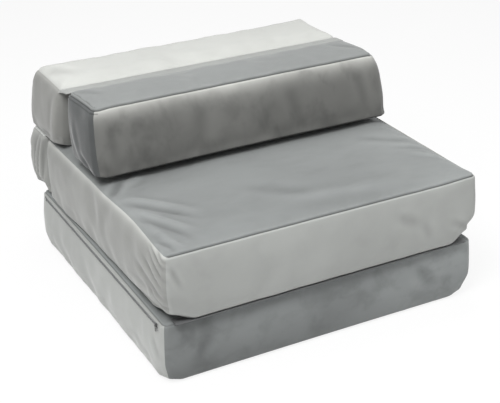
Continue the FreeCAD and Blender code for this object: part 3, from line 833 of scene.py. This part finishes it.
def strip(name, section, ends, columns, thick, material):
    """A strip of cloth with that (y, z) section, from the left end to the right one."""
    bpy.ops.object.select_all(action="DESELECT")
    bpy.ops.mesh.primitive_grid_add(x_subdivisions=columns, y_subdivisions=len(section) - 1, size=2)
    cloth = bpy.context.active_object
    cloth.name = name
    points, section = points_of(cloth), np.array(section)
    row = np.rint((points[:, 1] + 1) / 2 * (len(section) - 1)).astype(int)
    x = ends[0] + (points[:, 0] + 1) / 2 * (ends[1] - ends[0])
    waver = np.array([noise.noise(Vector((value * 14, len(name), 0))) for value in x])
    move_points(cloth, np.column_stack((x, section[row, 0], section[row, 1] + 0.0002 * waver)))
    return cloth_wall(cloth, thick, material)


print("a strip is", STRIP_THICK * 1000, "mm thick")


# %% The folded strip at the seat's front edge
STRIP_ENDS = (cad_corner("front_hinge", 0)[0], cad_corner("front_hinge", 1)[0])
FRONT_SECTION = ((-0.366, 0.1538), (-0.372, 0.1533), (-0.378, 0.1531), (-0.384, 0.1532), (-0.389, 0.1535),
                 (-0.3920, 0.1540), (-0.3932, 0.1545), (-0.3922, 0.1550), (-0.389, 0.1551), (-0.384, 0.1550),
                 (-0.378, 0.1550), (-0.372, 0.1550), (-0.366, 0.1550))
front_fold = strip("front_fold_strip", FRONT_SECTION, STRIP_ENDS, 60, STRIP_THICK, shade_dark_lining.material)
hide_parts("front_hinge")
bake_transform(front_fold)
print("front fold strip")

# %% The folded strip at the spine's rear edge
REAR_SECTION = ((0.4100, 0.32630), (0.4150, 0.32620), (0.4200, 0.32580), (0.4240, 0.32585), (0.4262, 0.32610),
                (0.4268, 0.32645), (0.4262, 0.32680), (0.4230, 0.32700), (0.4190, 0.32710), (0.4150, 0.32740),
                (0.4125, 0.32790))
rear_fold = strip("rear_fold_strip", REAR_SECTION, STRIP_ENDS, 60, STRIP_THICK, shade_dark_lining.material)
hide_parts("rear_hinge")
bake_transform(rear_fold)
print("rear fold strip")

# %% The flat strip under seat and spine
JOIN_SECTION = ((0.3120, 0.1554), (0.3170, 0.1554), (0.3210, 0.1556), (0.3235, 0.1566), (0.3262, 0.1572),
                (0.3290, 0.1566), (0.3315, 0.1556), (0.3360, 0.1554), (0.3410, 0.1554))
join_strip = strip("join_strip", JOIN_SECTION, STRIP_ENDS, 60, STRIP_THICK, shade_dark_lining.material)
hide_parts("spine_join")
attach(join_strip, "seat")
print("join strip")

# %% [markdown]
# ## The web between the bolsters
# The web is of the same velvet as the covers. It hangs between the upper edges of the two bolsters and sags
# a little in the middle. Near each end its turned hem stands up as a small ear, which the photograph shows
# on the left.

# %% The web between the bolsters
WEB_ROWS = 10
WEB_START, WEB_END = np.array((0.2028, 0.4836)), np.array((0.1616, 0.4872))
WEB_LEFT, WEB_RIGHT = -0.391, 0.379
WEB_SAG, EAR_HIGH = 0.0030, 0.0060
steps = np.linspace(0, 1, WEB_ROWS + 1)
web_section = [tuple(WEB_START + (WEB_END - WEB_START) * t - np.array((0, WEB_SAG * math.sin(math.pi * t))))
               for t in steps]
web = strip("bolster_web", web_section, (WEB_LEFT, WEB_RIGHT), 120, 0.0012, web_velvet)
points = points_of(web)
across_web = np.clip((WEB_START[0] - points[:, 1]) / (WEB_START[0] - WEB_END[0]), 0, 1)
points[:, 0] += np.clip(-points[:, 0] / 0.38, -1, 1) * 0.006 * across_web
for end, side in ((WEB_LEFT, 1), (WEB_RIGHT, -1)):
    inside = (points[:, 0] - end) * side
    points[:, 2] += EAR_HIGH * np.exp(-((inside - 0.012) / 0.011) ** 2) * np.sin(math.pi * across_web)
    points[:, 2] -= 0.0050 * np.clip(1 - inside / 0.006, 0, 1) ** 2
move_points(web, points)
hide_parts("head_web")
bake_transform(web)
print("bolster web")

# %% [markdown]
# ## Zips
# A long zip lets the cover come off the foam: one along the base's left upper edge, one along the seat's
# right one. A zip is a woven tape, two rows of nylon loops, a slider with its pull, and two lips of velvet
# folded back beside the tape. At both ends a dense dark bar tack holds the tape, and at the base's front
# end a few thread ends stand out of it, as on the real chair.

# %% Zip materials
tape_cloth = Finish("zip tape", {"Roughness": 0.8, "Sheen Weight": 0.1})
ribs = tape_cloth.node("ShaderNodeTexWave", {"bands_direction": "Y"},
                       {"Vector": tape_cloth.place(), "Scale": 260.0, "Distortion": 0.6})
cords = tape_cloth.node("ShaderNodeTexWave", {"bands_direction": "Z"},
                        {"Vector": tape_cloth.place(), "Scale": 150.0})
tape_cloth.drive("Base Color", tape_cloth.mix(0.7 + 0.2 * ribs + 0.1 * cords, grey(0.0), grey(0.40)))
tape_cloth.drive("Roughness", 0.72 + 0.16 * ribs)
tape_cloth.bump(ribs + 0.6 * cords, 0.5, 0.0002)

nylon = Finish("zip nylon", {"Roughness": 0.4})
nylon_wear = nylon.noise(500.0, 3.0)
nylon.drive("Base Color", nylon.mix(0.7 + 0.5 * (nylon_wear - 0.5), grey(0.0), grey(0.26, -0.02)))
nylon.drive("Roughness", 0.34 + 0.2 * nylon_wear)
nylon.bump(nylon_wear, 0.2, 0.0001)

lacquer = Finish("slider lacquer", {"Metallic": 0.7, "Roughness": 0.35, "Coat Weight": 0.2})
rubbed = lacquer.noise(420.0, 4.0, 0.6)
lacquer.drive("Base Color", lacquer.mix(rubbed.clamp(0.55, 0.72), grey(0.07), grey(0.20)))
lacquer.drive("Roughness", 0.28 + 0.3 * rubbed)
lacquer.bump(rubbed, 0.15, 0.0001)

thread = Finish("sewing thread", {"Roughness": 0.7, "Sheen Weight": 0.2})
twist = thread.node("ShaderNodeTexWave", {"bands_direction": "DIAGONAL"},
                    {"Vector": thread.place(), "Scale": 900.0})
thread.drive("Base Color", thread.mix(0.6 + 0.4 * twist, grey(0.0), grey(0.08)))
thread.drive("Roughness", 0.6 + 0.2 * twist)
thread.bump(twist, 0.4, 0.0001)
print("zip materials")


# %% [markdown]
# ## Helpers for small parts
# The parts of a zip are a few millimetres long. Each starts as a primitive, is added at its place with
# nothing else selected, and has that place applied to its mesh. What repeats is modelled once and repeated
# by an Array, and parts of one material are joined into one piece.

# %% Small helpers for the zips
def primitive(name, adder, **settings):
    """Adds one primitive with nothing else selected, and applies its place."""
    bpy.ops.object.select_all(action="DESELECT")
    adder(**settings)
    piece = bpy.context.active_object
    piece.name = name
    bpy.ops.object.transform_apply(location=True, rotation=True, scale=True)
    return piece


def rounded(piece, offset, segments=2):
    """Bevels every edge of a piece."""
    choose(piece)
    bpy.ops.object.mode_set(mode="EDIT")
    bpy.ops.mesh.select_mode(type="EDGE")
    bpy.ops.mesh.select_all(action="SELECT")
    bpy.ops.mesh.bevel(offset=offset, segments=segments, affect="EDGES")
    bpy.ops.object.mode_set(mode="OBJECT")
    return piece


def repeat(piece, count, step):
    """Repeats a piece along a step with an Array, applied."""
    choose(piece)
    row = piece.modifiers.new("row", "ARRAY")
    row.count = count
    row.use_relative_offset = False
    row.use_constant_offset = True
    row.constant_offset_displace = step
    bpy.ops.object.modifier_apply(modifier=row.name)
    return piece


def joined(name, parts, material):
    """Joins parts into one piece with one material."""
    bpy.ops.object.select_all(action="DESELECT")
    for part in parts:
        part.select_set(True)
    bpy.context.view_layer.objects.active = parts[0]
    if len(parts) > 1:
        bpy.ops.object.join()
    piece = bpy.context.active_object
    piece.name = name
    piece.data.materials.clear()
    piece.data.materials.append(material)
    bpy.ops.object.shade_smooth_by_angle(angle=math.radians(40))
    return piece


print("zip helpers ready")

# %% [markdown]
# ## Tape and lips
# The tape is a flat grid with a slightly raised selvedge along each side. Each lip is the edge of the
# cover, folded back. It starts as a thin cylinder, which is cut along its length, tapered at its ends and
# moved by a little noise, because a straight one would look like a rod.

# %% Tape and lips of one zip
LOOP_PITCH = 0.0017
STITCH_PITCH = 0.0042


def zip_tape(name, side):
    """The woven tape, where the CAD has it, as one thin sheet with selvedges and a dip under the loops."""
    low, high = cad_corner(f"{name}_zip_tape", 0), cad_corner(f"{name}_zip_tape", 1)
    length, width = high[1] - low[1], high[2] - low[2]
    bpy.ops.object.select_all(action="DESELECT")
    bpy.ops.mesh.primitive_grid_add(x_subdivisions=160, y_subdivisions=12, size=2)
    tape = bpy.context.active_object
    tape.name = f"{name}_zip_cloth"
    grid = points_of(tape)
    across_tape = np.abs(grid[:, 1])
    out = 0.00015 * np.sin(grid[:, 0] * 40) + 0.0003 * np.exp(-((across_tape - 0.92) / 0.07) ** 2)
    x = (low[0] + high[0]) / 2 + side * out
    y = (low[1] + high[1]) / 2 + grid[:, 0] * length / 2
    z = (low[2] + high[2]) / 2 + grid[:, 1] * width / 2
    move_points(tape, np.column_stack((x, y, z)))
    cloth_wall(tape, STRIP_THICK, tape_cloth.material)
    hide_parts(f"{name}_zip_tape")
    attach(tape, name)
    return low, high


def zip_lips(name, side, low, high, velvet_panel):
    """The cover's edges folded back above and below the tape, each a long soft roll."""
    rolls = []
    for place in (low[2] - 0.0006, high[2] + 0.0006):
        roll = primitive("roll", bpy.ops.mesh.primitive_cylinder_add, vertices=14, radius=1.0, depth=2.0)
        choose(roll)
        cut_along(roll, 2, 120)
        own = points_of(roll)
        taper = np.sqrt(np.clip(1 - np.abs(own[:, 2]) ** 40, 0.02, 1))
        waver = np.array([noise.noise(Vector((value * 9, place * 500, 0))) for value in own[:, 2]])
        x = (low[0] + high[0]) / 2 - side * 0.0004 + own[:, 0] * 0.0016 * taper
        z = place + own[:, 1] * 0.0015 * taper + 0.0004 * waver
        y = (low[1] + high[1]) / 2 + own[:, 2] * ((high[1] - low[1]) / 2 + 0.004)
        move_points(roll, np.column_stack((x, y, z)))
        rolls.append(roll)
    lips = joined(f"{name}_zip_lips", rolls, velvet_panel)
    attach(lips, name)


print("tape and lips")


# %% [markdown]
# ## Loops and slider
# A nylon zip is two bent wires whose loops hook into each other. A small ring with few corners stands for
# one loop, because a row has hundreds, and the second row is set half a step on. The slider's body is a
# cube, cut, pinched towards the side that it closes, and smoothed. Its pull hangs down from an eye.

# %% Loops and slider of one zip
def zip_loops(name):
    """Two rows of nylon loops, one loop repeated along the tape."""
    low, high = cad_corner(f"{name}_zip_coil", 0), cad_corner(f"{name}_zip_coil", 1)
    middle = (low + high) / 2
    count = int((high[1] - low[1] - LOOP_PITCH) / LOOP_PITCH)
    rows = []
    for row, shift in ((-1, 0.0), (1, LOOP_PITCH / 2)):
        loop = primitive("loop", bpy.ops.mesh.primitive_torus_add, major_segments=8, minor_segments=4,
                         major_radius=0.0011, minor_radius=0.00036, rotation=(math.pi / 2, 0, 0))
        own = points_of(loop)
        own[:, 0] *= 0.45
        own[:, 1] += own[:, 2] * 0.22 * row
        move_points(loop, own + np.array((middle[0], low[1] + 0.0006 + shift, middle[2] + row * 0.00075)))
        rows.append(repeat(loop, count, (0, LOOP_PITCH, 0)))
    loops = joined(f"{name}_zip_loops", rows, nylon.material)
    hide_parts(f"{name}_zip_coil")
    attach(loops, name)
    return len(loops.data.polygons)


def zip_slider(name, side):
    """Body with a pinched waist, bridge, eye and a pull that hangs down."""
    low, high = cad_corner(f"{name}_zip_slider", 0), cad_corner(f"{name}_zip_slider", 1)
    middle, size = (low + high) / 2, high - low
    body = primitive("body", bpy.ops.mesh.primitive_cube_add, size=1, location=tuple(middle),
                     scale=tuple(size * (0.8, 1, 1)))
    choose(body)
    bpy.ops.object.mode_set(mode="EDIT")
    bpy.ops.mesh.select_all(action="SELECT")
    bpy.ops.mesh.subdivide(number_cuts=4)
    bpy.ops.object.mode_set(mode="OBJECT")
    own = points_of(body)
    lengthways = (own[:, 1] - middle[1]) / (size[1] / 2)
    own[:, 2] = middle[2] + (own[:, 2] - middle[2]) * (1 - 0.28 * np.clip(lengthways, 0, 1) ** 2)
    own[:, 0] = middle[0] + (own[:, 0] - middle[0]) * (1 - 0.25 * lengthways ** 4)
    move_points(body, own)
    subdivide(body, 1)
    outer = low[0] if side < 0 else high[0]
    bridge = primitive("bridge", bpy.ops.mesh.primitive_torus_add, major_segments=20, minor_segments=8,
                       major_radius=0.0021, minor_radius=0.00045, location=(outer, middle[1], middle[2]))
    eye = primitive("eye", bpy.ops.mesh.primitive_torus_add, major_segments=20, minor_segments=8, major_radius=0.0016,
                    minor_radius=0.00042, location=(outer + side * 0.0014, middle[1], middle[2] - 0.0010),
                    rotation=(0, math.pi / 2, 0))
    pull = primitive("pull", bpy.ops.mesh.primitive_cube_add, size=1,
                     location=(outer + side * 0.0011, middle[1], middle[2] - 0.0082), scale=(0.0008, 0.0040, 0.0110))
    rounded(pull, 0.00035, 3)
    runner = joined(f"{name}_zip_runner", [body, bridge, eye, pull], lacquer.material)
    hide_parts(f"{name}_zip_slider")
    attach(runner, f"{name}_zip")


print("loops every", LOOP_PITCH * 1000, "mm")

# %% [markdown]
# ## Stitches and bar tacks
# Stitches are short thin cylinders in a row along both edges of the tape. A bar tack is a few threads laid
# close together across the zip, leaning to and fro. Loose thread ends are curves, because a curve bends
# where a cylinder would have to be cut, and each is turned into a mesh at the end.

# %% Bar tacks and stitches
def zip_sewing(name, side, low, high, ends):
    """Rows of stitches beside the tape's edges, and a bar tack at each named end."""
    parts = []
    outer = low[0] if side < 0 else high[0]
    count = int((high[1] - low[1] - 0.01) / STITCH_PITCH)
    for place in (low[2] + 0.0012, high[2] - 0.0012):
        stitch = primitive("stitch", bpy.ops.mesh.primitive_cylinder_add, vertices=6, radius=0.00022, depth=0.0030,
                           location=(outer, low[1] + 0.005, place), rotation=(math.pi / 2, 0, 0))
        parts.append(repeat(stitch, count, (0, STITCH_PITCH, 0)))
    for end in ends:
        start = (low[1] if end < 0 else high[1]) - end * 0.0005
        for number in range(11):
            slant = 0.05 if number % 2 else -0.05
            place = (outer + side * 0.0004, start - end * number * 0.00032, (low[2] + high[2]) / 2)
            parts.append(primitive("tack", bpy.ops.mesh.primitive_cylinder_add, vertices=6, radius=0.0003,
                                   depth=0.0125, location=place, rotation=(slant, 0, 0)))
    sewing = joined(f"{name}_zip_sewing", parts, thread.material)
    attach(sewing, name)


def thread_ends(name, root, tips):
    """Loose thread ends: thin curves, turned into one mesh."""
    parts = []
    for tip in tips:
        data = bpy.data.curves.new("thread end", "CURVE")
        data.dimensions = "3D"
        data.bevel_depth, data.bevel_resolution, data.resolution_u = 0.00028, 1, 8
        spline = data.splines.new("BEZIER")
        spline.bezier_points.add(2)
        bend = (np.array(root) + np.array(tip)) / 2 + np.array((-0.002, 0.0015, 0.0015))
        for knot, spot in zip(spline.bezier_points, (root, bend, tip)):
            knot.co = spot
            knot.handle_left_type = knot.handle_right_type = "AUTO"
        part = bpy.data.objects.new("thread end", data)
        scene.collection.objects.link(part)
        choose(part)
        bpy.ops.object.convert(target="MESH")
        parts.append(bpy.context.active_object)
    ends = joined(f"{name}_thread_ends", parts, thread.material)
    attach(ends, name)


print("stitches every", STITCH_PITCH * 1000, "mm")

# %% Make both zips
for name, (side, height) in ZIPS.items():
    low, high = zip_tape(name, side)
    zip_lips(name, side, low, high, LIT_AND_SHADED_VELVETS[f"{name}_side"])
    faces = zip_loops(name)
    zip_slider(name, side)
    zip_sewing(name, side, low, high, (-1, 1))
    print(name, "zip at height", height, "with", faces, "loop faces")
thread_ends("base", (-0.4008, -0.3535, 0.1360),
            ((-0.4030, -0.3560, 0.1280), (-0.4040, -0.3505, 0.1265), (-0.4020, -0.3600, 0.1320)))

# %% [markdown]
# ## Floor and light
# A white floor and a white surround for what looks at them straight or in a mirror, and soft light from
# large panels, so that the velvet shows its tone and not the lamps. Most of what the camera sees of the
# floor is plain white; the rest is lit, and keeps the chair's soft shadow.

# %% Floor
bpy.ops.object.select_all(action="DESELECT")
bpy.ops.mesh.primitive_plane_add(size=12)
floor = bpy.context.active_object
floor.name = "floor"
SEEN_WHITE = 0.86
ground = Finish("white floor", {"Roughness": 0.9, "Specular IOR Level": 0.1, "Base Color": grey(0.86)})
seen = ground.node("ShaderNodeLightPath", {}, {}, "Is Camera Ray")
mirrored = ground.node("ShaderNodeLightPath", {}, {}, "Is Glossy Ray")
through = ground.node("ShaderNodeLightPath", {}, {}, "Is Transmission Ray")
plain_white = ground.node("ShaderNodeEmission", {}, {"Color": grey(1.0), "Strength": 1.0})
lit = Socket(ground, ground.shader.outputs[0])
both = ground.node("ShaderNodeMixShader", {}, {0: (seen + mirrored + through) * SEEN_WHITE, 1: lit, 2: plain_white})
ground.tree.links.new(both.socket, ground.tree.nodes["Material Output"].inputs["Surface"])
floor.data.materials.append(ground.material)
print("white floor")

# %% Surround
SOFT_LIGHT = 0.24
surround = bpy.data.worlds.new("surround")
scene.world = surround
surround.use_nodes = True
sky = surround.node_tree
soft, white = sky.nodes["Background"], sky.nodes.new("ShaderNodeBackground")
for background, strength in ((soft, SOFT_LIGHT), (white, 1.0)):
    background.inputs["Color"].default_value = (1, 1, 1, 1)
    background.inputs["Strength"].default_value = strength
rays = sky.nodes.new("ShaderNodeLightPath")
straight, any_view = (sky.nodes.new("ShaderNodeMath") for _ in range(2))
straight.operation = any_view.operation = "MAXIMUM"
pick = sky.nodes.new("ShaderNodeMixShader")
for output, socket in ((rays.outputs["Is Camera Ray"], straight.inputs[0]),
                       (rays.outputs["Is Glossy Ray"], straight.inputs[1]),
                       (straight.outputs[0], any_view.inputs[0]),
                       (rays.outputs["Is Transmission Ray"], any_view.inputs[1]),
                       (any_view.outputs[0], pick.inputs[0]),
                       (soft.outputs[0], pick.inputs[1]),
                       (white.outputs[0], pick.inputs[2]),
                       (pick.outputs[0], sky.nodes["World Output"].inputs["Surface"])):
    sky.links.new(output, socket)
print("white surround")

# %% [markdown]
# ## Lamps
# The photograph's light is white and soft and comes from high up. The strongest panel stands at the front
# left, which makes the tops and the left sides light. A weak one at the front right and one over the rear
# keep the other sides from going flat.

# %% Lamps
LAMPS = {
    "key": ((-1.7, -1.3, 3.2), 1.6, 120.0),
    "fill": ((1.9, -1.7, 2.6), 1.8, 34.0),
    "top": ((0.1, 0.9, 3.0), 2.0, 34.0),
}
for name, (place, size, power) in LAMPS.items():
    data = bpy.data.lights.new(name, "AREA")
    data.shape = "SQUARE"
    data.size = size
    data.energy = power
    lamp = bpy.data.objects.new(name, data)
    scene.collection.objects.link(lamp)
    lamp.location = place
    lamp.rotation_euler = (Vector((0, 0, 0.2)) - Vector(place)).to_track_quat("-Z", "Y").to_euler()
print(", ".join(LAMPS), "and the surround at", SOFT_LIGHT)
